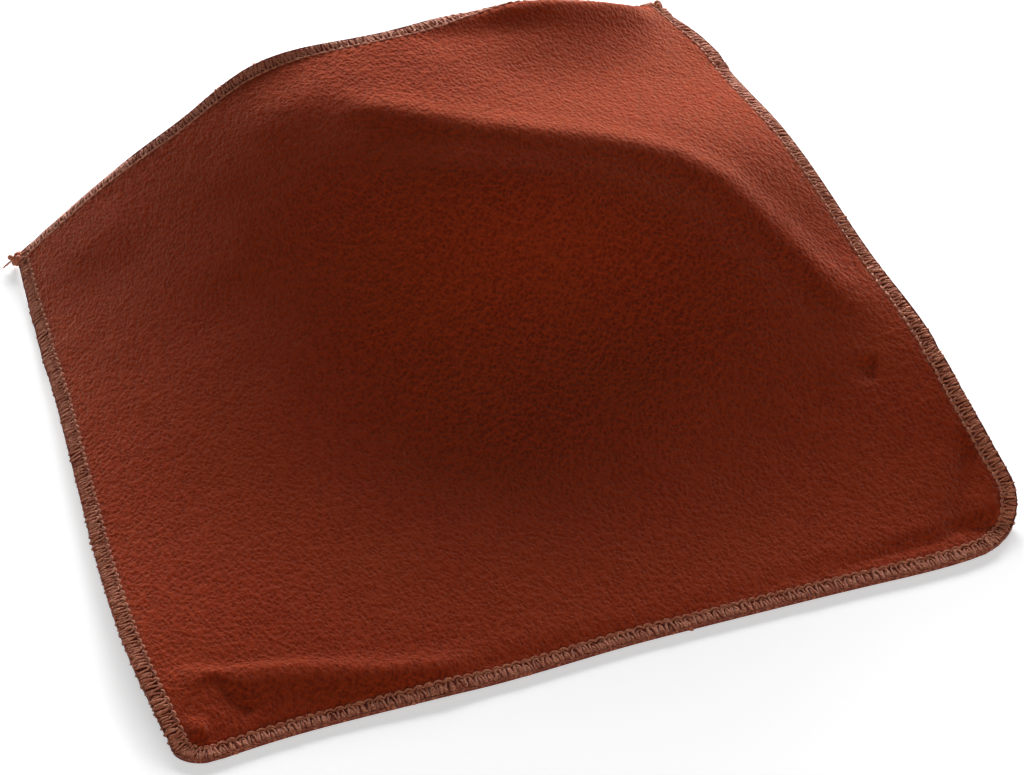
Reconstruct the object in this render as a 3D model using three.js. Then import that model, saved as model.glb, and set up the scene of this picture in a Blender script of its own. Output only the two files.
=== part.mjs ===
// A square microfibre cleaning cloth with a three-thread overlocked edge, lying on a table.
// Its front and left edges rest on the table and its back half stands up in one soft hump.
// Millimetres, +Z up, the front edge towards -Y. The cloth is laid from its flat pattern
// without stretching, so every height below also shortens its reach across the table.

import * as THREE from "three";

// Cloth, measured flat
const clothWidth = 300;
const clothDepth = 300;
const clothThickness = 2.4;
const frontRightRadius = 24;
const frontLeftRadius = 13;

// How the cloth lies
const crestHeight = 70;
const frontRestDepth = 6;
const frontRiseDepth = 28;
const tableCut = 0.5;
const edgeSway = 4;

// Overlocked edge
const needleInset = 5.6;
const stitchPitch = 3.3;
const threadDiameter = 0.45;
const threadClearance = 0.3;
const tableGap = 0.05;
const seamFabricThickness = 0.8;
const pileTaper = 1.5;
const seamEndGap = 1.2;
const looperOverhang = 0.3;
const looperEdgeDrop = 0.2;

// Knot of thread ends at each back corner
const knotRadius = 0.9;
const knotThreadDiameter = 0.6;
const knotReachShare = 1.5;
const knotSteps = 36;
const knotSides = 5;

// Fineness of the modelled surface
const layCells = 60;
const panelInnerCells = 19;
const threadSides = 3;

// Heights at seven even stations each way, as shares of the crest height.
// Rows run from the front edge to the back edge, columns from left to right.
const heightShares = [
  [0, 0, 0, 0, 0, 0, 0],
  [0.06, 0.07, 0.05, 0.07, 0.06, 0.09, 0.18],
  [0.03, 0.14, 0.21, 0.22, 0.31, 0.31, 0.34],
  [0.02, 0.2, 0.33, 0.43, 0.4, 0.66, 0.43],
  [0, 0.28, 0.49, 0.82, 1.03, 0.87, 0.68],
  [0, 0.36, 0.71, 1.06, 0.92, 0.73, 0.59],
  [0, 0.35, 0.8, 0.99, 0.92, 0.91, 0.58],
];

// How far each edge strays outwards from a true square, as shares of the edge sway,
// from front to back or from left to right.
const rightSwayShares = [0.3, 0.9, 0.1, 0, -0.6];
const frontSwayShares = [0.3, 0.1, 0.1, 0.9, 0.5];
const leftSwayShares = [-0.4, 0.8, -1.1, -0.2, 0];
const backSwayShares = [-0.9, -0.7, 1.5, 0.8, 0.4];

// The column of the cloth that the laying starts from, as a share of its width
const firstColumnShare = 0.6;

const threadRadius = threadDiameter / 2;
const seamLift = tableGap + threadDiameter + threadClearance + seamFabricThickness / 2;
const threadLift = seamFabricThickness / 2 + threadClearance + threadRadius;
const seamCover = needleInset + threadRadius + threadClearance;

// A looper's zigzag ends in pointed mitres, which reach past its turning points
const looperMitre = threadRadius * Math.hypot(1, (2 * (needleInset + looperOverhang)) / stitchPitch);
const looperInset = needleInset - threadRadius - threadClearance - looperMitre;
const looperEdgeLift = threadLift - looperEdgeDrop;

// Colours of the brushed pile and of the sewing thread
const pileColour = 0x8a4030;
const threadColour = 0x9a6248;

// A smooth curve over evenly spaced control values, held at both ends
function splineAt(controls, place) {
  const last = controls.length - 1;
  const span = Math.min(Math.max(Math.floor(place * last), 0), last - 1);
  const f = place * last - span;
  const control = (i) => {
    if (i < 0) return 2 * controls[0] - controls[1];
    if (i > last) return 2 * controls[last] - controls[last - 1];
    return controls[i];
  };
  const before = (1 - f) ** 3;
  const near = 3 * f ** 3 - 6 * f ** 2 + 4;
  const next = -3 * f ** 3 + 3 * f ** 2 + 3 * f + 1;
  const sum = before * control(span - 1) + near * control(span);
  return (sum + next * control(span + 1) + f ** 3 * control(span + 2)) / 6;
}

// Height of the cloth above its rest, at a place on the flat pattern
function heightAt(across, along) {
  const rows = heightShares.map((row) => splineAt(row, across / clothWidth));
  const rise = THREE.MathUtils.smoothstep(along, frontRestDepth, frontRestDepth + frontRiseDepth);
  return Math.max(crestHeight * rise * splineAt(rows, along / clothDepth), 0);
}

// The seam plane of the laid cloth, on an even grid over its flat pattern. Each step across or
// along keeps its length, so a step that climbs moves less over the table.
function layCloth() {
  const stepX = clothWidth / layCells;
  const stepY = clothDepth / layCells;
  const heights = [];
  for (let j = 0; j <= layCells; j++) {
    const row = [];
    for (let i = 0; i <= layCells; i++) row.push(heightAt(i * stepX, j * stepY));
    heights.push(row);
  }
  const first = Math.round(firstColumnShare * layCells);
  const slopeProduct = heights.map((row, j) => {
    const low = Math.max(j - 1, 0);
    const high = Math.min(j + 1, layCells);
    const along = (heights[high][first] - heights[low][first]) / ((high - low) * stepY);
    const across = (row[first + 1] - row[first - 1]) / (2 * stepX);
    return along * across;
  });
  const reach = (step, rise) => Math.sqrt(step ** 2 - rise ** 2);
  const grid = heights.map((row) => row.map((z) => new THREE.Vector3(0, 0, seamLift + z)));
  let start = firstColumnShare * clothWidth - clothWidth / 2;
  for (let j = 0; j <= layCells; j++) {
    if (j > 0) start -= ((slopeProduct[j] + slopeProduct[j - 1]) * stepY) / 2;
    grid[j][first].x = start;
    for (let i = first; i < layCells; i++)
      grid[j][i + 1].x = grid[j][i].x + reach(stepX, heights[j][i + 1] - heights[j][i]);
    for (let i = first; i > 0; i--)
      grid[j][i - 1].x = grid[j][i].x - reach(stepX, heights[j][i] - heights[j][i - 1]);
  }
  for (let i = 0; i <= layCells; i++) {
    grid[0][i].y = -clothDepth / 2;
    for (let j = 0; j < layCells; j++)
      grid[j + 1][i].y = grid[j][i].y + reach(stepY, heights[j + 1][i] - heights[j][i]);
  }
  return grid;
}

const laid = layCloth();

// Point of the seam plane over a place on the flat pattern, also just past its edges
function laidPoint(across, along) {
  const x = (across / clothWidth) * layCells;
  const y = (along / clothDepth) * layCells;
  const i = THREE.MathUtils.clamp(Math.floor(x), 0, layCells - 1);
  const j = THREE.MathUtils.clamp(Math.floor(y), 0, layCells - 1);
  const front = laid[j][i].clone().lerp(laid[j][i + 1], x - i);
  const back = laid[j + 1][i].clone().lerp(laid[j + 1][i + 1], x - i);
  return front.lerp(back, y - j);
}

// Moves a place on the true square on to the pattern's real outline: its front corners are
// round, and its edges stray a little
function toPattern(a, b) {
  let across = a;
  let along = b;
  for (const [radius, side] of [
    [frontRightRadius, 1],
    [frontLeftRadius, -1],
  ]) {
    const centre = side > 0 ? clothWidth - radius : radius;
    const out = (a - centre) * side;
    const down = radius - b;
    if (out > 0 && down > 0) {
      const pull = Math.max(out, down) / Math.hypot(out, down);
      across = centre + out * pull * side;
      along = radius - down * pull;
    }
  }
  const u = across / clothWidth;
  const v = along / clothDepth;
  across += edgeSway * (splineAt(rightSwayShares, v) * u - splineAt(leftSwayShares, v) * (1 - u));
  along += edgeSway * (splineAt(backSwayShares, u) * v - splineAt(frontSwayShares, u) * (1 - v));
  return [across, along];
}

// Stations of the panel's grid along one side: the flat seam band and the taper beside it at
// both ends, the strip that meets the table, then even cells
function stations(length) {
  const edge = [0, seamCover, seamCover + pileTaper, frontRestDepth + frontRiseDepth / 3];
  const far = [length - seamCover - pileTaper, length - seamCover, length];
  const start = edge[edge.length - 1];
  const inner = [];
  for (let k = 1; k < panelInnerCells; k++)
    inner.push(start + ((far[0] - start) * k) / panelInnerCells);
  return [...edge, ...inner, ...far];
}

const columns = stations(clothWidth);
const rows = stations(clothDepth);

// The seam plane at each station, with its upward normal
const panelGrid = rows.map((b) =>
  columns.map((a) => {
    const [across, along] = toPattern(a, b);
    const point = laidPoint(across, along);
    const stepX = clothWidth / layCells;
    const stepY = clothDepth / layCells;
    const right = laidPoint(across + stepX, along).sub(laidPoint(across - stepX, along));
    const back = laidPoint(across, along + stepY).sub(laidPoint(across, along - stepY));
    return { point, normal: right.cross(back).normalize() };
  }),
);

// A point on the faceted panel, lifted along its normal from the seam plane. A place outside
// the square carries on in line with the cell beside it.
function onPanel(a, b, lift) {
  const find = (list, value) => {
    let k = 0;
    while (k < list.length - 2 && list[k + 1] <= value) k++;
    return [k, (value - list[k]) / (list[k + 1] - list[k])];
  };
  const [i, f] = find(columns, a);
  const [j, g] = find(rows, b);
  const mix = (key) => {
    const at = (row, column) => panelGrid[row][column][key];
    if (f + g <= 1) {
      const corner = at(j, i);
      const across = at(j, i + 1).clone().sub(corner);
      const along = at(j + 1, i).clone().sub(corner);
      return corner.clone().addScaledVector(across, f).addScaledVector(along, g);
    }
    const corner = at(j + 1, i + 1);
    const across = at(j + 1, i).clone().sub(corner);
    const along = at(j, i + 1).clone().sub(corner);
    return corner.clone().addScaledVector(across, 1 - f).addScaledVector(along, 1 - g);
  };
  const normal = mix("normal").normalize();
  return { point: mix("point").addScaledVector(normal, lift), normal };
}

function namedMesh(name, geometry, colour) {
  const material = new THREE.MeshStandardMaterial({ color: colour, roughness: 0.95, metalness: 0 });
  const mesh = new THREE.Mesh(geometry, material);
  mesh.name = name;
  return mesh;
}

function meshFrom(name, points, triangles, colour) {
  const geometry = new THREE.BufferGeometry().setFromPoints(points);
  geometry.setIndex(triangles);
  geometry.computeVertexNormals();
  return namedMesh(name, geometry, colour);
}

// The cloth itself: full pile inside, pressed thin under the seam, and cut flat on the table
function makePanel() {
  const points = [];
  const triangles = [];
  const wide = columns.length;
  const count = wide * rows.length;
  const isSeam = (a, b) =>
    Math.min(a, clothWidth - a, b, clothDepth - b) < seamCover + pileTaper / 2;
  for (const side of [1, -1])
    rows.forEach((b, j) =>
      columns.forEach((a, i) => {
        const { point, normal } = panelGrid[j][i];
        const seam = isSeam(a, b);
        const above = seam ? seamFabricThickness / 2 : clothThickness - seamLift;
        const below = seam ? seamFabricThickness / 2 : seamLift + tableCut;
        const moved = point.clone().addScaledVector(normal, side > 0 ? above : -below);
        if (moved.z < 0) moved.z = 0;
        points.push(moved);
      }),
    );
  for (let j = 0; j < rows.length - 1; j++)
    for (let i = 0; i < wide - 1; i++) {
      const a = j * wide + i;
      const b = a + 1;
      const c = a + wide;
      const d = c + 1;
      triangles.push(a, b, c, b, d, c);
      triangles.push(count + a, count + c, count + b, count + b, count + c, count + d);
    }
  const rim = [];
  for (let i = 0; i < wide; i++) rim.push(i);
  for (let j = 1; j < rows.length; j++) rim.push(j * wide + wide - 1);
  for (let i = wide - 2; i >= 0; i--) rim.push((rows.length - 1) * wide + i);
  for (let j = rows.length - 2; j > 0; j--) rim.push(j * wide);
  rim.forEach((here, k) => {
    const next = rim[(k + 1) % rim.length];
    triangles.push(here, count + here, next, next, count + here, count + next);
  });
  return meshFrom("cloth_panel", points, triangles, pileColour);
}

// One continuous thread through a list of points, mitred at each turn
function makeThread(name, route) {
  const points = [];
  const triangles = [];
  route.forEach(({ point, normal }, k) => {
    const previous = route[Math.max(k - 1, 0)].point;
    const next = route[Math.min(k + 1, route.length - 1)].point;
    const arriving = point.clone().sub(k ? previous : next).normalize();
    if (!k) arriving.negate();
    const leaving = k < route.length - 1 ? next.clone().sub(point).normalize() : arriving;
    const heading = arriving.clone().add(leaving);
    const stretch = 2 / heading.length();
    heading.normalize();
    const side = normal.clone().cross(heading).normalize();
    const up = heading.clone().cross(side);
    for (let s = 0; s < threadSides; s++) {
      const angle = Math.PI / 2 + (2 * Math.PI * s) / threadSides;
      const out = point.clone().addScaledVector(up, threadRadius * Math.sin(angle));
      points.push(out.addScaledVector(side, threadRadius * stretch * Math.cos(angle)));
    }
    if (k === route.length - 1) return;
    for (let s = 0; s < threadSides; s++) {
      const a = k * threadSides + s;
      const b = k * threadSides + ((s + 1) % threadSides);
      triangles.push(a, b, a + threadSides, b, b + threadSides, a + threadSides);
    }
  });
  const end = (route.length - 1) * threadSides;
  for (let s = 1; s < threadSides - 1; s++) {
    triangles.push(0, s + 1, s);
    triangles.push(end, end + s, end + s + 1);
  }
  return meshFrom(name, points, triangles, threadColour);
}

// Quarter turn round a front corner: a place on the true square, at an angle past its start
function cornerPlace(radius, side, angle, inset) {
  const out = side > 0 ? Math.cos(angle) : Math.sin(angle);
  const down = side > 0 ? Math.sin(angle) : Math.cos(angle);
  const reach = (radius - inset) / Math.max(out, down);
  const centre = side > 0 ? clothWidth - radius : radius;
  return [centre + side * out * reach, radius - down * reach];
}

// The long run: down the right edge, round both front corners, and up the left edge
const rightLength = clothDepth - frontRightRadius;
const rightTurn = (Math.PI / 2) * frontRightRadius;
const frontLength = clothWidth - frontRightRadius - frontLeftRadius;
const leftTurn = (Math.PI / 2) * frontLeftRadius;
const leftLength = clothDepth - frontLeftRadius;
const edgeRunLength = rightLength + rightTurn + frontLength + leftTurn + leftLength;

function edgeRunPlace(distance, inset) {
  let left = distance;
  if (left < rightLength) return [clothWidth - inset, clothDepth - left];
  left -= rightLength;
  if (left < rightTurn) return cornerPlace(frontRightRadius, 1, left / frontRightRadius, inset);
  left -= rightTurn;
  if (left < frontLength) return [clothWidth - frontRightRadius - left, inset];
  left -= frontLength;
  if (left < leftTurn) return cornerPlace(frontLeftRadius, -1, left / frontLeftRadius, inset);
  left -= leftTurn;
  return [inset, frontLeftRadius + left];
}

// The short run: along the back edge, between the bands of the long run
const backRunMargin = seamCover + threadClearance;

function backRunPlace(distance, inset) {
  return [backRunMargin + distance, clothDepth - inset];
}

// The three threads of one overlocked run. The loopers cross the band once each way in every
// stitch, half a stitch apart, and the needle thread holds them at the inner edge of the band.
function makeRun(prefix, place, length) {
  const stitches = Math.round((length - 2 * seamEndGap) / stitchPitch);
  const pitch = (length - 2 * seamEndGap) / stitches;
  const at = (steps, inset, lift) => {
    const [a, b] = place(seamEndGap + steps * pitch, inset);
    return onPanel(a, b, lift);
  };
  const needle = [];
  const upper = [];
  const lower = [];
  for (let k = 0; k <= stitches; k++) needle.push(at(k, needleInset, threadLift));
  for (let k = 0; k <= 2 * stitches; k++) {
    const inner = k % 2 === 1;
    upper.push(
      inner ? at(k / 2, looperInset, threadLift) : at(k / 2, -looperOverhang, looperEdgeLift),
    );
    lower.push(
      inner ? at(k / 2, -looperOverhang, -looperEdgeLift) : at(k / 2, looperInset, -threadLift),
    );
  }
  return [
    makeThread(prefix + "_needle_thread", needle),
    makeThread(prefix + "_upper_looper_thread", upper),
    makeThread(prefix + "_lower_looper_thread", lower),
  ];
}

// The knotted thread ends, lying flat just off the point of a back corner
function makeKnot(name, a) {
  const corner = onPanel(a, clothDepth, 0).point;
  const inward = onPanel(clothWidth / 2, clothDepth / 2, 0).point;
  const outward = corner.clone().sub(inward).setZ(0).normalize();
  const knot = new THREE.TorusKnotGeometry(
    knotRadius,
    knotThreadDiameter / 2,
    knotSteps,
    knotSides,
  );
  const outer = knotRadius * knotReachShare + knotThreadDiameter / 2;
  const centre = corner.addScaledVector(outward, outer + threadClearance);
  knot.translate(centre.x, centre.y, centre.z);
  return namedMesh(name, knot, threadColour);
}

const cloth = new THREE.Group();
cloth.add(makePanel());
cloth.add(...makeRun("edge", edgeRunPlace, edgeRunLength));
cloth.add(...makeRun("back", backRunPlace, clothWidth - 2 * backRunMargin));
cloth.add(makeKnot("back_left_thread_knot", 0));
cloth.add(makeKnot("back_right_thread_knot", clothWidth));

// The part's own frame starts at the middle of its footprint, on the table
const footprint = new THREE.Box3().setFromObject(cloth, true);
const middle = footprint.getCenter(new THREE.Vector3());
cloth.position.set(-middle.x, -middle.y, 0);

export default cloth;
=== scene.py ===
import math

import bpy
import numpy as np
from mathutils import Matrix, Vector


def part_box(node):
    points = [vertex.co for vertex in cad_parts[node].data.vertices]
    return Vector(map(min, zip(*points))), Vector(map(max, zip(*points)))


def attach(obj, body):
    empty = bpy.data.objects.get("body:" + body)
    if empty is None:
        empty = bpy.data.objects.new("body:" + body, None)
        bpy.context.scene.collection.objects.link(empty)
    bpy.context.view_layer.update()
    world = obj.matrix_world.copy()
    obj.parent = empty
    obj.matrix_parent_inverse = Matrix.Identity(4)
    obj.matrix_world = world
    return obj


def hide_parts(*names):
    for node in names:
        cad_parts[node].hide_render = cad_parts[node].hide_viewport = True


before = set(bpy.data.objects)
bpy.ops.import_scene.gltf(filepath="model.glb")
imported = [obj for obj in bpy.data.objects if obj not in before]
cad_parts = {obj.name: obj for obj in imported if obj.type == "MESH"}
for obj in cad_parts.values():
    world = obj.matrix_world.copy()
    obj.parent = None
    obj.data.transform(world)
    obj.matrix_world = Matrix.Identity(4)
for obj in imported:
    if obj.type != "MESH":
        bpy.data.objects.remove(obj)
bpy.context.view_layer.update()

# A brushed microfibre cleaning cloth with an overlocked edge. It lies on a table with its back half
# raised in one soft hump. Lengths are metres and are written through MM, one millimetre. A place on
# the flat cloth is how far across from its left edge, and how far along from its front edge.
MM = 0.001

# The cloth as it is cut, and the height of its hump: the same sizes as the solids have
CLOTH_WIDTH = 300 * MM
CLOTH_DEPTH = 300 * MM
FRONT_RIGHT_RADIUS = 24 * MM
FRONT_LEFT_RADIUS = 13 * MM
CREST_HEIGHT = 70 * MM
# The front edge rests on the table over the first depth and rises over the second
FRONT_REST_DEPTH = 6 * MM
FRONT_RISE_DEPTH = 28 * MM
# How far the seam plane, the middle of the seam's pressed fabric, lies over the pile's underside
SEAM_LIFT = 1.2 * MM
# The column from which the cloth is laid out to both sides, as a share of the width
FIRST_COLUMN_SHARE = 0.6

# Heights that steer the smooth surface, at seven even stations each way, front row first and from
# left to right, as shares of the crest height
HEIGHT_SHARES = np.array([
    [0, 0, 0, 0, 0, 0, 0],
    [0.08, 0.1, 0.07, 0.08, 0.06, 0.085, 0.205],
    [0.03, 0.13, 0.16, 0.17, 0.27, 0.3, 0.355],
    [0.02, 0.2, 0.33, 0.43, 0.4, 0.66, 0.43],
    [0, 0.245, 0.49, 0.82, 1.03, 0.87, 0.68],
    [0, 0.345, 0.735, 1.075, 0.92, 0.73, 0.59],
    [0, 0.39, 0.81, 1.02, 1.045, 0.985, 0.61],
])

# Where the cloth has risen to its full height behind the front edge, at seven stations from the
# left, as shares of the rise depth
FRONT_RISE_SHARES = np.array([1.2, 0.95, 0.45, 0.3, 0.3, 0.3, 0.3])
# Between these places, as shares of the width, the front's steep roll ends
FRONT_ROLL_SHARES = (0.3, 0.75)

# The back edge turns up a little on its left, and curls down further on, which hides its seam.
# Both start and end between two places each, given as shares of the width.
BACK_CURL_DEPTH = 9 * MM
BACK_LIFT_START = (0.15, 0.3)
BACK_LIFT_END = (0.54, 0.66)
BACK_LIFT = 3.0 * MM
BACK_CURL_START = (0.58, 0.7)
BACK_CURL_END = (0.92, 0.985)
BACK_CURL_DROP = 4.2 * MM

# How far each edge strays outwards from a true square, at even stations from the front or the
# left, as shares of the edge sway
EDGE_SWAY = 4 * MM
RIGHT_SWAY_SHARES = np.array([0.4, 0.65, 0.35, 0.8, 0.2, 0.3, 0.1, 0.0, -0.35, -0.15, -3.2])
FRONT_SWAY_SHARES = np.array([0.5, -0.3, -0.2, 0.3, 0.4, 0.05, 0.35, 0.6, 0.95, 1.5, 0.3])
LEFT_SWAY_SHARES = np.array([-0.4, 0.1, 0.45, 0.25, -0.25, -0.7, -0.8, -0.6, 0.05, 0.1, -0.5])
BACK_SWAY_SHARES = np.array([-1.2, -0.8, -0.5, -1.65, 0.4, -0.6, -1.9, -0.2, 0.8, 1.15, 0.9])

# The seam's stitches, and how far from the end of each run they stop
STITCH_PITCH = 3.3 * MM
SEAM_END_GAP = 1.2 * MM


# Shape of the lying cloth

def spline_weights(places, count):
    """Weights of evenly spaced control values for a smooth curve that is held at both ends."""
    x = np.clip(places, 0, 1) * (count - 1)
    span = np.minimum(np.floor(x).astype(int), count - 2)
    f = x - span
    parts = [(1 - f) ** 3, 3 * f ** 3 - 6 * f ** 2 + 4, -3 * f ** 3 + 3 * f ** 2 + 3 * f + 1, f ** 3]
    padded = np.zeros((len(x), count + 2))
    for k, part in enumerate(parts):
        padded[np.arange(len(x)), span + k] += part / 6
    weights = padded[:, 1:-1].copy()
    weights[:, 0] += 2 * padded[:, 0]
    weights[:, 1] -= padded[:, 0]
    weights[:, -1] += 2 * padded[:, -1]
    weights[:, -2] -= padded[:, -1]
    return weights


def curve_at(shares, places):
    """Values, at places from 0 to 1, of the smooth curve that evenly spaced shares steer."""
    return (spline_weights(places.ravel(), len(shares)) @ shares).reshape(places.shape)


def smooth_step(value, low, high):
    """Rises smoothly from 0 at low to 1 at high."""
    t = np.clip((value - low) / (high - low), 0, 1)
    return t * t * (3 - 2 * t)


def crease(across, along, route, height, back_width, front_width, fade_share):
    """A rounded ridge, or a valley where height is negative, along a route over the flat cloth.
    The back side is the one on the left of the route. It fades out over a share of both ends."""
    route = np.array(route) * MM
    best = np.full(across.shape, np.inf)
    place = np.zeros(across.shape)
    behind = np.zeros(across.shape, bool)
    lengths = np.linalg.norm(np.diff(route, axis=0), axis=1)
    done = 0.0
    for start, end, length in zip(route[:-1], route[1:], lengths):
        step = (end - start) / length
        out_x = across - start[0]
        out_y = along - start[1]
        t = np.clip(out_x * step[0] + out_y * step[1], 0, length)
        gap = np.hypot(out_x - t * step[0], out_y - t * step[1])
        nearer = gap < best
        best = np.where(nearer, gap, best)
        place = np.where(nearer, done + t, place)
        behind = np.where(nearer, step[0] * out_y - step[1] * out_x > 0, behind)
        done += length
    fade = smooth_step(place, 0, fade_share * done) * smooth_step(done - place, 0, fade_share * done)
    width = np.where(behind, back_width, front_width)
    return height * fade * np.exp(-(best / width) ** 2)


# Small creases that the plain heights leave out. Each is a route of places on the flat cloth, then
# its height and the widths of its back and front sides, all in millimetres, and the share of its
# length that fades out at each end.
CREASES = [
    # the brow of the hump, where the light stops
    ([(136, 271), (147, 253), (166, 238), (189, 223), (212, 211), (235, 199), (250, 189), (260, 175),
      (267, 157), (274, 137), (281, 116), (289, 98)], 1.8, 8, 8, 0.15),
    # the brow of the front edge at the left
    ([(3, 41), (12, 37), (25, 31), (38, 28), (50, 24.5), (75, 15), (92, 11), (110, 9)], 2.0, 4, 9, 0.2),
    # two puckers in the front left corner
    ([(19, 33), (25, 22), (31, 11)], -1.0, 3, 5, 0.2),
    ([(7, 13), (15, 12)], 1.2, 4, 4, 0.3),
    # a short pucker by the right edge, and the crease across the front right corner
    ([(279.5, 89), (274, 75)], -1.3, 1.8, 5, 0.4),
    ([(296, 46), (291, 36), (286, 27), (281, 20), (276, 12), (270, 4)], -1.3, 6, 3.6, 0.2),
    # the lip of the back edge towards its right corner, and the groove behind it
    ([(205, 298), (225, 295), (250, 291), (270, 290), (290, 292)], 1.5, 3, 9, 0.25),
    ([(225, 301), (250, 297), (270, 296), (288, 297)], -1.4, 3, 3, 0.3),
    # the hollow in front of that lip
    ([(172, 287), (205, 284), (240, 286)], -1.1, 7, 9, 0.35),
    # the right edge, turned up a little by its back corner
    ([(299.5, 308), (299.5, 280), (299.5, 250)], 2.0, 8, 8, 0.2),
    # the left end of the crest, and two soft swellings of the left slope
    ([(100, 268), (120, 267), (142, 260)], 0.8, 14, 10, 0.4),
    ([(0, 272), (30, 270), (70, 268)], 1.1, 30, 14, 0.5),
    ([(45, 224), (75, 217), (105, 213)], 0.5, 14, 12, 0.5),
]


def front_rise_end(across):
    """How far behind the front edge the cloth has risen from the table."""
    shares = curve_at(FRONT_RISE_SHARES, across / CLOTH_WIDTH)
    return FRONT_REST_DEPTH + FRONT_RISE_DEPTH * shares


def cloth_height(across, along):
    """Height over the table, for arrays of places on the flat cloth."""
    place = across / CLOTH_WIDTH
    rows, columns = HEIGHT_SHARES.shape
    # the front rolls up from its seam and levels off at the end of its rise, fully on the left
    rise_end = front_rise_end(across)
    still_to_rise = np.maximum(rise_end - along, 0)
    rolled = 1 - smooth_step(place, *FRONT_ROLL_SHARES)
    u = spline_weights(place.ravel(), columns)
    v = spline_weights((along + rolled * still_to_rise).ravel() / CLOTH_DEPTH, rows)
    share = np.einsum("ni,ij,nj->n", v, HEIGHT_SHARES, u).reshape(across.shape)
    left_to_rise = np.minimum(still_to_rise / (rise_end - FRONT_REST_DEPTH), 1)
    height = CREST_HEIGHT * (1 - left_to_rise ** 2) * share
    # the back edge turns up, then curls down
    lifted = smooth_step(place, *BACK_LIFT_START) - smooth_step(place, *BACK_LIFT_END)
    curled = smooth_step(place, *BACK_CURL_START) - smooth_step(place, *BACK_CURL_END)
    curl = np.maximum(1 - (CLOTH_DEPTH - along) / BACK_CURL_DEPTH, 0)
    height = height + (BACK_LIFT * lifted - BACK_CURL_DROP * curled) * curl ** 2
    for route, high, back, front, fade in CREASES:
        height = height + crease(across, along, route, high * MM, back * MM, front * MM, fade)
    return np.maximum(height, 0)


# Cells each way of the grid on which the cloth is laid
LAY_CELLS = 300


def lay_cloth():
    """The seam plane of the laid cloth on an even grid over the flat cloth. Each step keeps its
    length, so a step that climbs moves less over the table."""
    step = np.array([CLOTH_WIDTH, CLOTH_DEPTH]) / LAY_CELLS
    across, along = np.meshgrid(np.arange(LAY_CELLS + 1) * step[0], np.arange(LAY_CELLS + 1) * step[1])
    z = cloth_height(across, along)
    first = round(FIRST_COLUMN_SHARE * LAY_CELLS)
    reach_x = np.sqrt(step[0] ** 2 - np.diff(z, axis=1) ** 2)
    reach_y = np.sqrt(step[1] ** 2 - np.diff(z, axis=0) ** 2)
    x = np.concatenate([np.zeros((LAY_CELLS + 1, 1)), np.cumsum(reach_x, 1)], 1)
    slope_across = (z[:, first + 1] - z[:, first - 1]) / (2 * step[0])
    slope_along = np.gradient(z[:, first], step[1])
    product = slope_across * slope_along
    drift = np.concatenate([[0], np.cumsum((product[1:] + product[:-1]) * step[1] / 2)])
    start = (FIRST_COLUMN_SHARE - 0.5) * CLOTH_WIDTH - drift
    x = x - x[:, first:first + 1] + start[:, None]
    y = np.concatenate([np.zeros((1, LAY_CELLS + 1)), np.cumsum(reach_y, 0)], 0) - CLOTH_DEPTH / 2
    return np.stack([x, y, z + SEAM_LIFT], -1)


LAID = lay_cloth()
# How far to each side a normal is measured
NORMAL_REACH = 1.5 * MM


def laid_point(across, along):
    """Points of the seam plane over places on the flat cloth, also just past its edges."""
    x = across / CLOTH_WIDTH * LAY_CELLS
    y = along / CLOTH_DEPTH * LAY_CELLS
    i = np.clip(np.floor(x).astype(int), 0, LAY_CELLS - 1)
    j = np.clip(np.floor(y).astype(int), 0, LAY_CELLS - 1)
    f = (x - i)[..., None]
    g = (y - j)[..., None]
    front = LAID[j, i] * (1 - f) + LAID[j, i + 1] * f
    back = LAID[j + 1, i] * (1 - f) + LAID[j + 1, i + 1] * f
    return front * (1 - g) + back * g


def laid_frame(across, along):
    """Points of the seam plane and their upward normals."""
    point = laid_point(across, along)
    right = laid_point(across + NORMAL_REACH, along) - laid_point(across - NORMAL_REACH, along)
    back = laid_point(across, along + NORMAL_REACH) - laid_point(across, along - NORMAL_REACH)
    normal = np.cross(right, back)
    return point, normal / np.linalg.norm(normal, axis=-1, keepdims=True)


def round_corners(a, b):
    """Places on the true square, moved on to the cloth's cut outline with its round front corners."""
    across, along = a.copy(), b.copy()
    for radius, side in ((FRONT_RIGHT_RADIUS, 1), (FRONT_LEFT_RADIUS, -1)):
        centre = CLOTH_WIDTH - radius if side > 0 else radius
        out = (a - centre) * side
        down = radius - b
        inside = (out > 0) & (down > 0)
        pull = np.maximum(out, down) / np.maximum(np.hypot(out, down), 1e-9)
        across = np.where(inside, centre + out * pull * side, across)
        along = np.where(inside, radius - down * pull, along)
    return across, along


def sway_edges(across, along):
    """The edges of a real cloth stray a little from the straight."""
    u = across / CLOTH_WIDTH
    v = along / CLOTH_DEPTH
    out_x = curve_at(RIGHT_SWAY_SHARES, v) * u - curve_at(LEFT_SWAY_SHARES, v) * (1 - u)
    out_y = curve_at(BACK_SWAY_SHARES, u) * v - curve_at(FRONT_SWAY_SHARES, u) * (1 - v)
    return across + EDGE_SWAY * out_x, along + EDGE_SWAY * out_y


# Mesh making

def new_mesh(name, points, faces, uv_of_point=None, uv_of_corner=None):
    """A smooth mesh object at the origin, with a UV pair for each point or each face corner."""
    mesh = bpy.data.meshes.new(name)
    mesh.from_pydata(points.tolist(), [], faces)
    mesh.update()
    mesh.polygons.foreach_set("use_smooth", np.ones(len(mesh.polygons), bool))
    if uv_of_point is not None:
        corner_point = np.zeros(len(mesh.loops), np.int32)
        mesh.loops.foreach_get("vertex_index", corner_point)
        uv_of_corner = uv_of_point[corner_point]
    if uv_of_corner is not None:
        layer = mesh.uv_layers.new(name="UVMap")
        layer.data.foreach_set("uv", np.asarray(uv_of_corner, np.float32).ravel())
    piece = bpy.data.objects.new(name, mesh)
    bpy.context.scene.collection.objects.link(piece)
    return piece


def unit(vectors):
    """The same directions, each of length 1."""
    return vectors / np.linalg.norm(vectors, axis=-1, keepdims=True)


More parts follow.
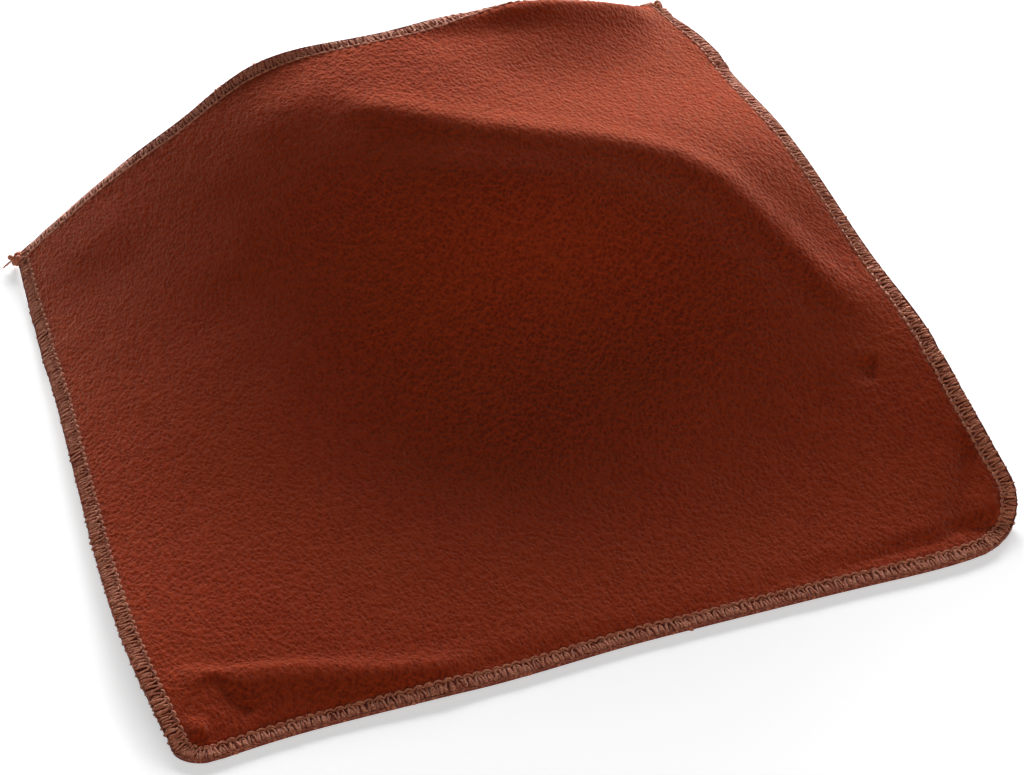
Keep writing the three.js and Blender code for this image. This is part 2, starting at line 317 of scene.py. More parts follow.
def tube(path, up, half_width, half_height, sides):
    """Points, faces and face corner UV of a closed oval thread along a path, with its height
    towards up. The UV runs in millimetres along it, and once round it."""
    count = len(path)
    tangent = unit(np.gradient(path, axis=0))
    side = unit(np.cross(up, tangent))
    lift = np.cross(tangent, side)
    angle = np.arange(sides) / sides * 2 * np.pi
    wide = np.broadcast_to(half_width, count)[:, None, None] * np.cos(angle)[:, None]
    tall = np.broadcast_to(half_height, count)[:, None, None] * np.sin(angle)[:, None]
    points = (path[:, None] + wide * side[:, None] + tall * lift[:, None]).reshape(-1, 3)
    k, s = np.meshgrid(np.arange(count - 1), np.arange(sides), indexing="ij")
    near = k * sides + s
    round_on = k * sides + (s + 1) % sides
    faces = np.stack([near, round_on, round_on + sides, near + sides], -1).reshape(-1, 4).tolist()
    run = np.concatenate([[0], np.cumsum(np.linalg.norm(np.diff(path, axis=0), axis=1))]) / MM
    start, end = run[k], run[k + 1]
    low, high = s / sides, (s + 1) / sides
    uv = np.stack([start, low, start, high, end, high, end, low], -1).reshape(-1, 2).tolist()
    faces.append(list(range(sides))[::-1])
    faces.append([(count - 1) * sides + n for n in range(sides)])
    uv += [(0, 0)] * sides + [(run[-1], 0)] * sides
    return points, faces, uv


def join_tubes(name, tubes):
    """One mesh object of several tubes."""
    points, faces, uv = [], [], []
    for tube_points, tube_faces, tube_uv in tubes:
        first = len(points)
        points += tube_points.tolist()
        faces += [[first + n for n in face] for face in tube_faces]
        uv += tube_uv
    return new_mesh(name, np.array(points), faces, uv_of_corner=uv)


# Lumps kept ready past each edge, where the edges stray to
LUMP_MARGIN = 12


def lumps(across, along, size, seed):
    """Soft random lumps of about one size over the flat cloth, from -1 to 1."""
    count = int(CLOTH_WIDTH / size) + 2 * LUMP_MARGIN
    grid = np.random.default_rng(seed).uniform(-1, 1, (count, count))
    x = across / size + LUMP_MARGIN - 1
    y = along / size + LUMP_MARGIN - 1
    i = np.floor(x).astype(int)
    j = np.floor(y).astype(int)
    f = smooth_step(x - i, 0, 1)
    g = smooth_step(y - j, 0, 1)
    front = grid[j, i] * (1 - f) + grid[j, i + 1] * f
    back = grid[j + 1, i] * (1 - f) + grid[j + 1, i + 1] * f
    return front * (1 - g) + back * g


# The cloth

PILE_THICKNESS = 2.4 * MM
SEAM_FABRIC_THICKNESS = 1.4 * MM
PILE_EDGE = 5.2 * MM
PILE_ROLL = 2.2 * MM
CLUMP_SIZE = 2.2 * MM
CLUMP_HEIGHT = 0.06 * MM
# Between the clumps lie finer ones, smaller and lower by this share
FINE_CLUMP_SHARE = 0.5
SWELL_SIZE = 15 * MM
SWELL_HEIGHT = 0.18 * MM
CLUMP_SEED = 3
FINE_CLUMP_SEED = 4
SWELL_SEED = 5

# The top face has a cell every millimetre, for the clumps of its pile. The underside keeps such
# cells only along the seam.
FINE_CELLS = 300
UNDER_FINE_CELLS = 9
UNDER_CELL_STEP = 6


def pile_share(edge_gap):
    """0 under the seam, where the stitches press the fabric thin, and 1 in the full pile."""
    rise = np.clip((edge_gap - PILE_EDGE) / PILE_ROLL, 0, 1)
    return np.sqrt(1 - (1 - rise) ** 2)


def make_cloth():
    """One closed skin: the pile face above, the pile face below and the cut edge between."""
    share = np.arange(FINE_CELLS + 1) / FINE_CELLS
    a, b = np.meshgrid(share * CLOTH_WIDTH, share * CLOTH_DEPTH)
    across, along = sway_edges(*round_corners(a, b))
    point, normal = laid_frame(across, along)
    edge_gap = np.minimum(np.minimum(a, CLOTH_WIDTH - a), np.minimum(b, CLOTH_DEPTH - b))
    full = pile_share(edge_gap)
    clumps = lumps(across, along, CLUMP_SIZE, CLUMP_SEED)
    fine_clumps = lumps(across, along, CLUMP_SIZE * FINE_CLUMP_SHARE, FINE_CLUMP_SEED)
    clumps = CLUMP_HEIGHT * (clumps + FINE_CLUMP_SHARE * fine_clumps)
    swells = SWELL_HEIGHT * lumps(across, along, SWELL_SIZE, SWELL_SEED)
    above = SEAM_FABRIC_THICKNESS / 2 * (1 - full) + (PILE_THICKNESS - SEAM_LIFT + clumps + swells) * full
    below = SEAM_FABRIC_THICKNESS / 2 * (1 - full) + SEAM_LIFT * full
    top = point + normal * above[..., None]
    bottom = point - normal * below[..., None]
    bottom[..., 2] = np.maximum(bottom[..., 2], 0)

    wide = FINE_CELLS + 1
    j, i = np.meshgrid(np.arange(FINE_CELLS), np.arange(FINE_CELLS), indexing="ij")
    corner = (j * wide + i).ravel()
    faces = np.stack([corner, corner + 1, corner + wide + 1, corner + wide], -1).tolist()

    seam_lines = list(range(UNDER_FINE_CELLS))
    middle_lines = list(range(UNDER_FINE_CELLS, FINE_CELLS - UNDER_FINE_CELLS, UNDER_CELL_STEP))
    lines = seam_lines + middle_lines + [FINE_CELLS - n for n in range(UNDER_FINE_CELLS, -1, -1)]
    under_wide = len(lines)
    first_under = wide * wide
    under = bottom[np.ix_(lines, lines)].reshape(-1, 3)
    j, i = np.meshgrid(np.arange(under_wide - 1), np.arange(under_wide - 1), indexing="ij")
    corner = (j * under_wide + i).ravel() + first_under
    faces += np.stack([corner, corner + under_wide, corner + under_wide + 1, corner + 1], -1).tolist()

    # the cut edge: each stretch of the underside's rim meets the finer cells of the top's rim
    last = FINE_CELLS
    last_under = under_wide - 1
    back_under = first_under + last_under * under_wide
    for n in range(last_under):
        cells = range(lines[n], lines[n + 1] + 1)
        row_start = first_under + n * under_wide
        next_row_start = row_start + under_wide
        front = [first_under + n, *cells, first_under + n + 1]
        back = [back_under + n + 1, *(last * wide + x for x in reversed(cells)), back_under + n]
        left = [next_row_start, *(x * wide for x in reversed(cells)), row_start]
        right = [row_start + last_under, *(x * wide + last for x in cells), next_row_start + last_under]
        faces += [front, back, left, right]
    points = np.concatenate([top.reshape(-1, 3), under])
    flat = np.stack([across, along], -1)
    flat = np.concatenate([flat.reshape(-1, 2), flat[np.ix_(lines, lines)].reshape(-1, 2)])
    piece = new_mesh("cloth", points, faces, uv_of_point=flat)
    # how far the stitches press the pile, for its colour
    pressed = np.concatenate([1 - full.ravel(), 1 - full[np.ix_(lines, lines)].ravel()])
    attribute = piece.data.attributes.new("pressed", "FLOAT", "POINT")
    attribute.data.foreach_set("value", pressed.astype(np.float32))
    return piece


# The overlocked edge

RIGHT_LENGTH = CLOTH_DEPTH - FRONT_RIGHT_RADIUS
RIGHT_TURN = math.pi / 2 * FRONT_RIGHT_RADIUS
FRONT_LENGTH = CLOTH_WIDTH - FRONT_RIGHT_RADIUS - FRONT_LEFT_RADIUS
LEFT_TURN = math.pi / 2 * FRONT_LEFT_RADIUS
LEFT_LENGTH = CLOTH_DEPTH - FRONT_LEFT_RADIUS
EDGE_RUN_LENGTH = RIGHT_LENGTH + RIGHT_TURN + FRONT_LENGTH + LEFT_TURN + LEFT_LENGTH


def edge_run_place(distance, inset):
    """Places on the flat cloth down the right edge, round the front and up the left edge."""
    ends = np.cumsum([RIGHT_LENGTH, RIGHT_TURN, FRONT_LENGTH, LEFT_TURN])
    turn_right = (distance - ends[0]) / FRONT_RIGHT_RADIUS
    turn_left = (distance - ends[2]) / FRONT_LEFT_RADIUS
    where = [distance < ends[0], distance < ends[1], distance < ends[2], distance < ends[3]]
    reach_right = FRONT_RIGHT_RADIUS - inset
    reach_left = FRONT_LEFT_RADIUS - inset
    across = np.select(where, [
        CLOTH_WIDTH - inset,
        CLOTH_WIDTH - FRONT_RIGHT_RADIUS + reach_right * np.cos(turn_right),
        CLOTH_WIDTH - FRONT_RIGHT_RADIUS - (distance - ends[1]),
        FRONT_LEFT_RADIUS - reach_left * np.sin(turn_left),
    ], inset)
    along = np.select(where, [
        CLOTH_DEPTH - distance,
        FRONT_RIGHT_RADIUS - reach_right * np.sin(turn_right),
        inset,
        FRONT_LEFT_RADIUS - reach_left * np.cos(turn_left),
    ], FRONT_LEFT_RADIUS + distance - ends[3])
    return across, along


# The back edge's run stops this far from both corners, beside the seams of the other run
BACK_RUN_MARGIN = 5.0 * MM
BACK_RUN_LENGTH = CLOTH_WIDTH - 2 * BACK_RUN_MARGIN


def back_run_place(distance, inset):
    """Places on the flat cloth along the back edge, from left to right."""
    return BACK_RUN_MARGIN + distance, CLOTH_DEPTH - inset + 0 * distance


# One stitch of each thread, point by point: how far along the stitch, then in millimetres its
# inset from the cut edge, lift from the seam plane, half width and half height. The next stitch
# follows on. The looper threads are bulky, and spread where nothing holds them.
NEEDLE_STITCH = [
    (0.00, 4.8, 0.50, 0.32, 0.28),
    (0.10, 5.2, 0.92, 0.38, 0.32),
    (0.32, 5.6, 1.15, 0.42, 0.34),
    (0.50, 5.7, 1.2, 0.42, 0.34),
    (0.68, 5.6, 1.15, 0.42, 0.34),
    (0.90, 5.2, 0.92, 0.38, 0.32),
]
UPPER_LOOPER_STITCH = [
    (0.04, 0.0, 0.2, 0.50, 0.26),
    (0.10, 0.9, 0.74, 0.48, 0.26),
    (0.15, 2.1, 0.84, 0.48, 0.26),
    (0.20, 3.3, 0.86, 0.46, 0.26),
    (0.27, 4.3, 0.88, 0.42, 0.28),
    (0.38, 4.85, 0.9, 0.42, 0.30),
    (0.50, 5.0, 0.9, 0.42, 0.30),
    (0.62, 4.85, 0.9, 0.42, 0.30),
    (0.73, 4.3, 0.88, 0.42, 0.28),
    (0.80, 3.3, 0.86, 0.46, 0.26),
    (0.85, 2.1, 0.84, 0.48, 0.26),
    (0.90, 0.9, 0.74, 0.48, 0.26),
]
LOWER_LOOPER_STITCH = [
    (0.04, 4.8, -0.6, 0.46, 0.28),
    (0.26, 2.8, -0.76, 0.60, 0.28),
    (0.42, 0.8, -0.7, 0.45, 0.30),
    (0.43, -0.05, -0.05, 0.42, 0.30),
    (0.44, 0.8, 0.72, 0.40, 0.26),
    (0.46, 2.2, 0.82, 0.40, 0.26),
    (0.50, 3.5, 0.84, 0.38, 0.26),
    (0.54, 2.2, 0.82, 0.40, 0.26),
    (0.56, 0.8, 0.72, 0.40, 0.26),
    (0.57, -0.05, -0.05, 0.42, 0.30),
    (0.58, 0.8, -0.7, 0.45, 0.30),
    (0.74, 2.8, -0.76, 0.60, 0.28),
    (0.96, 4.8, -0.6, 0.46, 0.28),
]
# How far stitches stray by hand, and each point of a stitch as a share of that
NEEDLE_UNEVEN = 0.09 * MM
LOOPER_UNEVEN = 0.2 * MM
WANDER_SHARE = 0.5
THREAD_SIDES = 6
SEAM_SEED = 7

# The cut edge inside the seam is round, so a thread turns about this inset
RIM_INSET = 0.4 * MM

# Stitches that stand loose at the right edge: how far from its back corner, and how far out
LOOSE_LOOPS = ((9 * MM, 1.1 * MM), (48 * MM, 0.8 * MM))
LOOSE_SPREAD = 5 * MM


def make_thread(name, place, length, stitch, slack, loose_loops, rng):
    """One thread of a run: the stitch repeated to the run's end, each a little uneven by hand."""
    stitches = round((length - 2 * SEAM_END_GAP) / STITCH_PITCH)
    pitch = (length - 2 * SEAM_END_GAP) / stitches
    table = np.array(stitch)
    step = table[:, 0]
    inset, lift, half_width, half_height = np.repeat(table[:, None, 1:] * MM, stitches, 1).T
    distance = SEAM_END_GAP + (np.arange(stitches)[:, None] + step) * pitch
    uneven = rng.normal(0, slack, (4, stitches, 1))
    wander = rng.normal(0, slack * WANDER_SHARE, (3, stitches, len(step)))
    distance = (distance + uneven[0] + wander[0]).ravel()
    inset = (inset + uneven[1] + wander[1]).ravel()
    lift = (lift + uneven[2] * WANDER_SHARE + wander[2]).ravel()
    half_width = (half_width * (1 + uneven[3] / MM)).ravel()
    half_height = half_height.ravel()
    for centre, reach in loose_loops:
        near = np.exp(-((distance - centre) / LOOSE_SPREAD) ** 2)
        inset = inset - np.where(inset < MM, reach * near, 0)
    across, along = sway_edges(*place(distance, inset))
    point, normal = laid_frame(across, along)
    inner = laid_point(*sway_edges(*place(distance, inset + MM)))
    outer = laid_point(*sway_edges(*place(distance, inset - MM)))
    past_rim = np.maximum(inset, RIM_INSET) - inset
    up = unit(unit(outer - inner) * past_rim[:, None] + normal * lift[:, None])
    path = point + normal * lift[:, None]
    path[:, 2] = np.maximum(path[:, 2], half_height)
    return join_tubes(name, [tube(path, up, half_width, half_height, THREAD_SIDES)])


def make_seams():
    """The three threads of both runs, by the node that each stands for."""
    rng = np.random.default_rng(SEAM_SEED)
    pieces = {}
    for prefix, place, length, loose_loops in (
        ("edge", edge_run_place, EDGE_RUN_LENGTH, LOOSE_LOOPS),
        ("back", back_run_place, BACK_RUN_LENGTH, ()),
    ):
        for kind, stitch, slack in (
            ("needle", NEEDLE_STITCH, NEEDLE_UNEVEN),
            ("upper_looper", UPPER_LOOPER_STITCH, LOOPER_UNEVEN),
            ("lower_looper", LOWER_LOOPER_STITCH, LOOPER_UNEVEN),
        ):
            pieces[f"{prefix}_{kind}_thread"] = make_thread(
                f"{prefix}_{kind}_stitches", place, length, stitch, slack, loose_loops, rng)
    return pieces


# The knotted ends at the back corners

KNOT_RADIUS = 1.9 * MM
KNOT_THREAD_HALF = 1.0 * MM
KNOT_POINTS = 40
KNOT_SIDES = 8
KNOT_FLATNESS = 0.75
KNOT_SIDESTEP = 0.3 * KNOT_RADIUS
KNOT_OUTER_RISE = 0.2 * KNOT_RADIUS
# The cord of thread ends from the seam to the knot, and the tail beyond the knot, bow upwards, most
# at these shares of their length from the knot
CORD_POINTS = 8
CORD_RISE = 0.3 * KNOT_RADIUS
CORD_BOW_SHARE = 0.5
TAIL_HALF = 0.34 * MM
TAIL_POINTS = 10
TAIL_SIDES = 6
TAIL_RISE = 0.4 * KNOT_RADIUS
TAIL_BOW_SHARE = 0.4
HAIR_HALF = 0.07 * MM
HAIR_POINTS = 7
HAIR_SIDES = 4
HAIR_COUNT = 6
HAIR_SPREAD = 1.1 * MM
HAIR_UP = (0.3, 0.2, 1.0)
KNOT_SEED = 11

# Each knot's place on the flat cloth, then the steps from it back to the seam, and out to the
# tail's end, all in millimetres
KNOTS = {
    "back_left": ((0.6, 292.4), (2.4, 3.0, 0.2), (-5.2, -1.0, -1.6)),
    "back_right": ((287.6, 298.4), (-2.6, -0.8, 0.2), (3.4, 0.2, -1.6)),
}


def smooth_path(points, count):
    """A smooth path of count points through a few points."""
    points = np.array(points, float)
    places = np.linspace(0, 1, count)
    return spline_weights(places, len(points)) @ points


def make_knot(name, place, seam_way, tail_way, rng):
    """The chained thread ends of both runs, tied in an overhand knot with a frayed tail."""
    corner = laid_point(np.array([place[0] * MM]), np.array([place[1] * MM]))[0]
    centre = corner + np.array([0, 0, max(KNOT_RADIUS + KNOT_THREAD_HALF - corner[2], 0)])
    seam_way = np.array(seam_way) * MM
    tail_way = np.array(tail_way) * MM
    turn = np.arange(KNOT_POINTS) / KNOT_POINTS * 2 * np.pi
    swing = KNOT_RADIUS * (2 + np.cos(3 * turn)) / 3
    knot = np.stack([
        swing * np.cos(2 * turn) + KNOT_SIDESTEP * np.sin(turn),
        swing * np.sin(2 * turn),
        KNOT_RADIUS * np.sin(3 * turn) * KNOT_FLATNESS,
    ], -1)
    knot = np.concatenate([knot, knot[:2]])
    sky = np.array([0.0, 0.0, 1.0])
    outward = unit(knot + KNOT_OUTER_RISE * sky)
    tubes = [tube(centre + knot, outward, KNOT_THREAD_HALF, KNOT_THREAD_HALF, KNOT_SIDES)]
    cord_bow = centre + CORD_BOW_SHARE * seam_way + CORD_RISE * sky
    cord = smooth_path([centre + seam_way, cord_bow, centre], CORD_POINTS)
    cord_up = np.tile(sky, (CORD_POINTS, 1))
    tubes.append(tube(cord, cord_up, KNOT_THREAD_HALF, KNOT_THREAD_HALF, KNOT_SIDES))
    end = centre + tail_way
    tail_bow = centre + TAIL_BOW_SHARE * tail_way + TAIL_RISE * sky
    tail = smooth_path([centre, tail_bow, end], TAIL_POINTS)
    tubes.append(tube(tail, np.tile(sky, (TAIL_POINTS, 1)), TAIL_HALF, TAIL_HALF, TAIL_SIDES))
    hair_up = np.tile(unit(np.array(HAIR_UP)), (HAIR_POINTS, 1))
    for start in [centre, end] * (HAIR_COUNT // 2):
        way = tail_way / 3 + rng.normal(0, HAIR_SPREAD, 3)
        bend = rng.normal(0, HAIR_SPREAD / 2, 3)
        hair = smooth_path([start, start + way / 2 + bend, start + way], HAIR_POINTS)
        hair[:, 2] = np.maximum(hair[:, 2], HAIR_HALF)
        tubes.append(tube(hair, hair_up, HAIR_HALF, HAIR_HALF, HAIR_SIDES))
    return join_tubes(name, tubes)


# Materials

# The nubs of a real pile are about 0.8 mm across, drawn a little coarser so that they show. The
# pile leans, so its grain is longer along the lean.
PILE_NUB = 1.35 * MM
PILE_FIBRE = 0.8 * MM
PILE_LEAN = 0.65
PILE_LEAN_TURN = math.radians(-20)
PILE_PATCH = 40 * MM
# How deep the grain is drawn
PILE_DEPTH = 0.9 * MM
# One turn of the thread's two plies, and how deep the groove between them is
PLY_TURN = 1.3 * MM
PLY_DEPTH = 0.12 * MM
# Loose fibres of a spun thread are far finer, and are drawn coarse enough to show
THREAD_FUZZ = 0.7 * MM
# The thread turns a little redder over stretches of about this size
THREAD_STRETCH = 2.5 * MM


def srgb(code):
    """A colour written as sRGB hex, in the linear values that a shader takes."""
    parts = [int(code[k:k + 2], 16) / 255 for k in (1, 3, 5)]
    return tuple(c / 12.92 if c <= 0.04045 else ((c + 0.055) / 1.055) ** 2.4 for c in parts) + (1.0,)


def add_node(tree, kind, settings=None, inputs=None):
    """Adds a node, sets its fields, and gives each named input a value or another node's output."""
    node = tree.nodes.new(kind)
    for key, value in (settings or {}).items():
        setattr(node, key, value)
    for key, value in (inputs or {}).items():
        if isinstance(value, bpy.types.NodeSocket):
            tree.links.new(value, node.inputs[key])
        else:
            node.inputs[key].default_value = value
    return node


def new_material(name):
    """An empty material and its node tree."""
    material = bpy.data.materials.new(name)
    material.use_nodes = True
    tree = material.node_tree
    tree.nodes.clear()
    return material, tree


def brushed_microfibre():
    """Polyester and polyamide microfibre, knitted, raised and sheared to a short soft pile. It is matt,
    paler where light grazes the fibre ends, and its clumps and hollows give it a fine grain; its colour
    is darker in those hollows, which is painted shade."""
    material, tree = new_material("brushed_microfibre")
    # The UV is the flat cloth in metres, so a scale is one over a size
    coord = add_node(tree, "ShaderNodeTexCoord")
    leaning = add_node(tree, "ShaderNodeMapping", None, {
        "Vector": coord.outputs["UV"], "Scale": (1.0, PILE_LEAN, 1.0),
        "Rotation": (0.0, 0.0, PILE_LEAN_TURN)})
    nubs = add_node(tree, "ShaderNodeTexVoronoi", None, {
        "Vector": leaning.outputs["Vector"], "Scale": 1 / PILE_NUB})
    fibres = add_node(tree, "ShaderNodeTexNoise", None, {
        "Vector": leaning.outputs["Vector"], "Scale": 1 / PILE_FIBRE, "Detail": 3.0, "Roughness": 0.6,
        "Distortion": 0.6})
    patches = add_node(tree, "ShaderNodeTexNoise", None, {
        "Vector": coord.outputs["UV"], "Scale": 1 / PILE_PATCH, "Detail": 2.0, "Roughness": 0.5})
    depth = add_node(tree, "ShaderNodeMath", {"operation": "MULTIPLY_ADD"}, {
        0: nubs.outputs["Distance"], 1: 0.7, 2: fibres.outputs["Fac"]})
    # Painted shade: the pile is coloured darker where the grain is low, by the same heights as its bump,
    # and lighter where it stands up
    pit_shade_mask = add_node(tree, "ShaderNodeMapRange", None, {
        "Value": depth.outputs[0], "From Min": 0.55, "From Max": 0.95})
    pile_with_pit_shade = add_node(tree, "ShaderNodeMix", {"data_type": "RGBA"}, {
        "Factor": pit_shade_mask.outputs["Result"], "A": srgb("#8A270F"), "B": srgb("#A83819")})
    tone = add_node(tree, "ShaderNodeMapRange", None, {
        "Value": patches.outputs["Fac"], "From Min": 0.35, "From Max": 0.65, "To Max": 0.3})
    warm = add_node(tree, "ShaderNodeMix", {"data_type": "RGBA"}, {
        "Factor": tone.outputs["Result"], "A": pile_with_pit_shade.outputs["Result"], "B": srgb("#A23C18")})
    pressed = add_node(tree, "ShaderNodeAttribute", {"attribute_name": "pressed"})
    under_seam = add_node(tree, "ShaderNodeMix", {"data_type": "RGBA"}, {
        "Factor": pressed.outputs["Fac"], "A": warm.outputs["Result"], "B": srgb("#8C4030")})
    matt = add_node(tree, "ShaderNodeMapRange", None, {
        "Value": pit_shade_mask.outputs["Result"], "To Min": 1.0, "To Max": 0.85})
    bump = add_node(tree, "ShaderNodeBump", None, {
        "Strength": 1.0, "Distance": PILE_DEPTH, "Height": depth.outputs[0]})
    shader = add_node(tree, "ShaderNodeBsdfPrincipled", None, {
        "Base Color": under_seam.outputs["Result"], "Roughness": matt.outputs["Result"],
        "Specular IOR Level": 0.0, "Sheen Weight": 0.42, "Sheen Roughness": 0.35,
        "Sheen Tint": srgb("#FFD6BC"), "Normal": bump.outputs["Normal"]})
    add_node(tree, "ShaderNodeOutputMaterial", None, {"Surface": shader.outputs["BSDF"]})
    return material


def spun_polyester_thread():
    """Two-ply spun polyester sewing thread: matt and slightly hairy, a paler brown than the pile. Its
    colour is darker where its plies and loose fibres lie low, which is painted shade.
    """
    material, tree = new_material("spun_polyester_thread")
    # The UV runs in millimetres along the thread and once round it. The plies turn on a slant.
    coord = add_node(tree, "ShaderNodeTexCoord")
    turn = add_node(tree, "ShaderNodeMapping", None, {
        "Vector": coord.outputs["UV"], "Scale": (MM / PLY_TURN, 2.0, 1.0)})
    split = add_node(tree, "ShaderNodeSeparateXYZ", None, {"Vector": turn.outputs["Vector"]})
    lay = add_node(tree, "ShaderNodeMath", {"operation": "ADD"}, {
        0: split.outputs["X"], 1: split.outputs["Y"]})
    plies = add_node(tree, "ShaderNodeMath", {"operation": "PINGPONG"}, {0: lay.outputs[0], 1: 0.5})
    fibres = add_node(tree, "ShaderNodeTexNoise", None, {
        "Vector": coord.outputs["Object"], "Scale": 1 / THREAD_FUZZ, "Detail": 3.0, "Roughness": 0.6})
    mixed = add_node(tree, "ShaderNodeMath", {"operation": "MULTIPLY_ADD"}, {
        0: plies.outputs[0], 1: 0.8, 2: fibres.outputs["Fac"]})
    # Painted shade: the thread is coloured darker where its plies and fibres are low, by the same heights
    # as its bump
    fade = add_node(tree, "ShaderNodeMapRange", None, {
        "Value": mixed.outputs[0], "From Min": 0.4, "From Max": 0.95})
    groove_shaded_thread = add_node(tree, "ShaderNodeMix", {"data_type": "RGBA"}, {
        "Factor": fade.outputs["Result"], "A": srgb("#A3563A"), "B": srgb("#CE825D")})
    stretch = add_node(tree, "ShaderNodeTexNoise", None, {
        "Vector": coord.outputs["Object"], "Scale": 1 / THREAD_STRETCH, "Detail": 1.0})
    redder = add_node(tree, "ShaderNodeMapRange", None, {
        "Value": stretch.outputs["Fac"], "From Min": 0.42, "From Max": 0.62, "To Max": 0.5})
    colour = add_node(tree, "ShaderNodeMix", {"data_type": "RGBA"}, {
        "Factor": redder.outputs["Result"], "A": groove_shaded_thread.outputs["Result"], "B": srgb("#A54A31")})
    matt = add_node(tree, "ShaderNodeMapRange", None, {
        "Value": fibres.outputs["Fac"], "To Min": 0.75, "To Max": 0.95})
    bump = add_node(tree, "ShaderNodeBump", None, {
        "Strength": 0.9, "Distance": PLY_DEPTH, "Height": mixed.outputs[0]})
    shader = add_node(tree, "ShaderNodeBsdfPrincipled", None, {
        "Base Color": colour.outputs["Result"], "Roughness": matt.outputs["Result"],
        "Specular IOR Level": 0.15, "Sheen Weight": 0.2, "Sheen Roughness": 0.5,
        "Normal": bump.outputs["Normal"]})
    add_node(tree, "ShaderNodeOutputMaterial", None, {"Surface": shader.outputs["BSDF"]})
    return material


# Camera, at the photograph's viewing angle

CAMERA_DISTANCE = 1.1843
CAMERA_ELEVATION = math.radians(37.885)
CAMERA_AZIMUTH = math.radians(-16.92)
CAMERA_ROLL = math.radians(-3.80)
CAMERA_AIM = Vector((14.08, -5.02, 0.0)) * MM
PHOTO_WIDTH_PX = 1024
LENS_PX = 3275
SENSOR_MM = 36.0


def make_camera(shift):
    """A camera with a long lens, which looks down at the cloth from the front and a little left."""
    look = Vector((
        -math.sin(CAMERA_AZIMUTH) * math.cos(CAMERA_ELEVATION),
        math.cos(CAMERA_AZIMUTH) * math.cos(CAMERA_ELEVATION),
        -math.sin(CAMERA_ELEVATION),
    ))
    right = Vector((math.cos(CAMERA_AZIMUTH), math.sin(CAMERA_AZIMUTH), 0))
    up = right.cross(look)
    rolled = right * math.cos(CAMERA_ROLL) + up * math.sin(CAMERA_ROLL)
    top = up * math.cos(CAMERA_ROLL) - right * math.sin(CAMERA_ROLL)
    data = bpy.data.cameras.new("camera")
    data.sensor_width = SENSOR_MM
    data.lens = LENS_PX / PHOTO_WIDTH_PX * SENSOR_MM
    data.clip_start = 0.05
    data.clip_end = 50
    camera = bpy.data.objects.new("camera", data)
    bpy.context.scene.collection.objects.link(camera)
    turn = Matrix((rolled, top, -look)).transposed().to_4x4()
    camera.matrix_world = Matrix.Translation(CAMERA_AIM + shift - look * CAMERA_DISTANCE) @ turn
    bpy.context.scene.camera = camera


# Stage and light

TABLE_SIZE = 12.0
TABLE_GAP = 0.02 * MM
TABLE_PAINT = 0.8
# The table's own glow, which only the camera and gloss see, and which makes it white
TABLE_GLOW = 0.5
# The world's light on the object, and what the camera sees of the world
WORLD_DIM = 0.06
WORLD_WHITE = 1.0

# Each lamp's azimuth and elevation in degrees, its distance, width and height in metres, and its
# watts. Azimuth 0 is behind the cloth and 90 is to its right.
LAMPS = {
    "low_window": (18, 10, 2.5, 1.0, 0.25, 72),
    "wide_window": (20, 19, 2.5, 2.4, 0.5, 119),
    "left_fill": (-30, 16, 2.5, 1.0, 0.8, 3),
    "front_fill": (185, 13, 2.5, 2.0, 0.5, 24),
}


def make_stage():
    """A plain white table that keeps the cloth's soft shadow."""
    bpy.ops.object.select_all(action="DESELECT")
    bpy.ops.mesh.primitive_plane_add(size=TABLE_SIZE)
    table = bpy.context.object
    table.name = "table"
    table.data.transform(Matrix.Translation((0, 0, -TABLE_GAP)))
    material, tree = new_material("white_table")
    ray = add_node(tree, "ShaderNodeLightPath")
    seen = add_node(tree, "ShaderNodeMath", {"operation": "ADD", "use_clamp": True}, {
        0: ray.outputs["Is Camera Ray"], 1: ray.outputs["Is Glossy Ray"]})
    glow = add_node(tree, "ShaderNodeEmission", None, {
        "Color": (1, 1, 1, 1), "Strength": TABLE_GLOW})
    plain = add_node(tree, "ShaderNodeBsdfDiffuse", None, {
        "Color": (TABLE_PAINT, TABLE_PAINT, TABLE_PAINT, 1)})
    lit = add_node(tree, "ShaderNodeAddShader", None, {0: glow.outputs[0], 1: plain.outputs[0]})
    both = add_node(tree, "ShaderNodeMixShader", None, {
        "Fac": seen.outputs[0], 1: plain.outputs[0], 2: lit.outputs[0]})
    add_node(tree, "ShaderNodeOutputMaterial", None, {"Surface": both.outputs[0]})
    table.data.materials.append(material)


def area_light(name, azimuth, elevation, distance, width, height, power):
    """A soft rectangular light that faces the middle of the cloth."""
    azimuth = math.radians(azimuth)
    elevation = math.radians(elevation)
    place = Vector((
        math.sin(azimuth) * math.cos(elevation),
        math.cos(azimuth) * math.cos(elevation),
        math.sin(elevation),
    )) * distance
    data = bpy.data.lights.new(name, "AREA")
    data.shape = "RECTANGLE"
    data.size = width
    data.size_y = height
    data.energy = power
    lamp = bpy.data.objects.new(name, data)
    lamp.matrix_world = Matrix.Translation(place) @ place.to_track_quat("Z", "Y").to_matrix().to_4x4()
    bpy.context.scene.collection.objects.link(lamp)


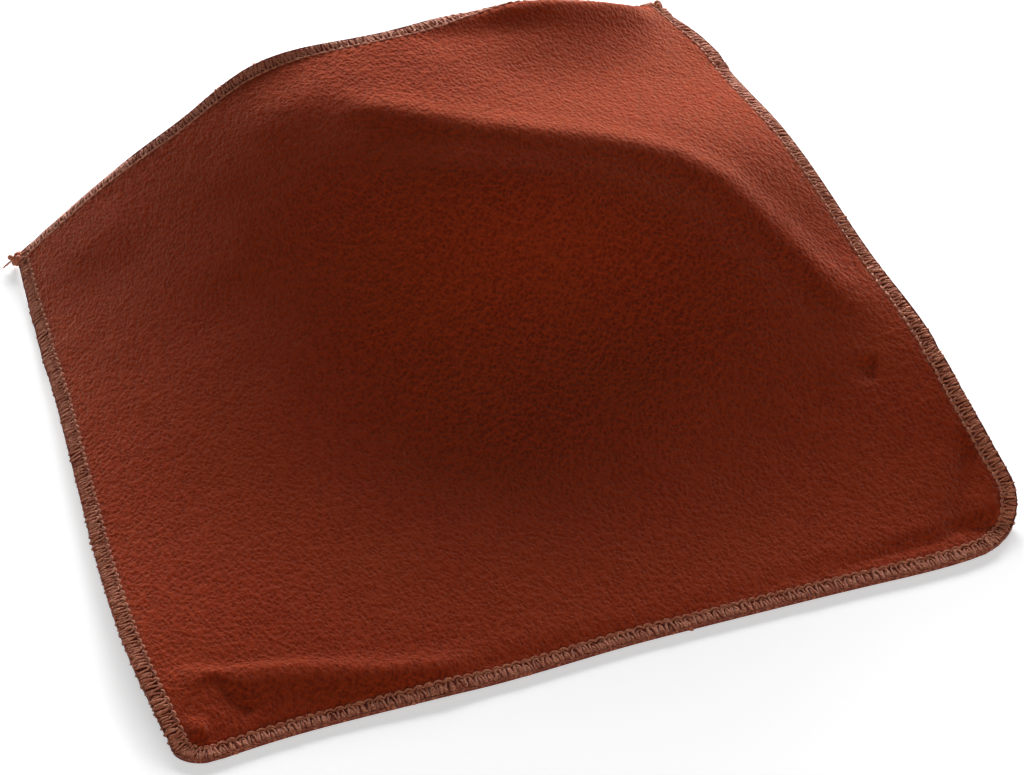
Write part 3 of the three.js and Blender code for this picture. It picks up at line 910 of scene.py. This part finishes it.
def make_light():
    """The lamps, and a white world that lights the cloth only dimly."""
    for name, lamp in LAMPS.items():
        area_light(name, *lamp)
    world = bpy.data.worlds.new("studio")
    bpy.context.scene.world = world
    world.use_nodes = True
    tree = world.node_tree
    tree.nodes.clear()
    ray = add_node(tree, "ShaderNodeLightPath")
    seen = add_node(tree, "ShaderNodeMath", {"operation": "ADD"}, {
        0: ray.outputs["Is Camera Ray"], 1: ray.outputs["Is Glossy Ray"]})
    seen = add_node(tree, "ShaderNodeMath", {"operation": "ADD", "use_clamp": True}, {
        0: seen.outputs[0], 1: ray.outputs["Is Transmission Ray"]})
    dim = add_node(tree, "ShaderNodeBackground", None, {
        "Color": (1, 1, 1, 1), "Strength": WORLD_DIM})
    white = add_node(tree, "ShaderNodeBackground", None, {
        "Color": (1, 1, 1, 1), "Strength": WORLD_WHITE})
    both = add_node(tree, "ShaderNodeMixShader", None, {
        "Fac": seen.outputs[0], 1: dim.outputs[0], 2: white.outputs[0]})
    add_node(tree, "ShaderNodeOutputWorld", None, {"Surface": both.outputs[0]})
    bpy.context.scene.view_settings.view_transform = "Standard"


# Assembly

cloth = make_cloth()
# the step that sets the cloth over the middle of its solid
points = np.array([v.co for v in cloth.data.vertices])
low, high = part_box("cloth_panel")
shift = Vector((
    (low.x + high.x - points[:, 0].min() - points[:, 0].max()) / 2,
    (low.y + high.y - points[:, 1].min() - points[:, 1].max()) / 2,
    0,
))

seams = make_seams()
rng = np.random.default_rng(KNOT_SEED)
knots = {
    f"{corner}_thread_knot": make_knot(f"{corner}_knot", *knot, rng)
    for corner, knot in KNOTS.items()
}
for piece in (cloth, *seams.values(), *knots.values()):
    piece.data.transform(Matrix.Translation(shift))

pile = brushed_microfibre()
thread = spun_polyester_thread()
cloth.data.materials.append(pile)
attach(cloth, "root")
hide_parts("cloth_panel")
for node, piece in (*seams.items(), *knots.items()):
    piece.data.materials.append(thread)
    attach(piece, "root")
    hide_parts(node)

make_camera(shift)
make_stage()
make_light()
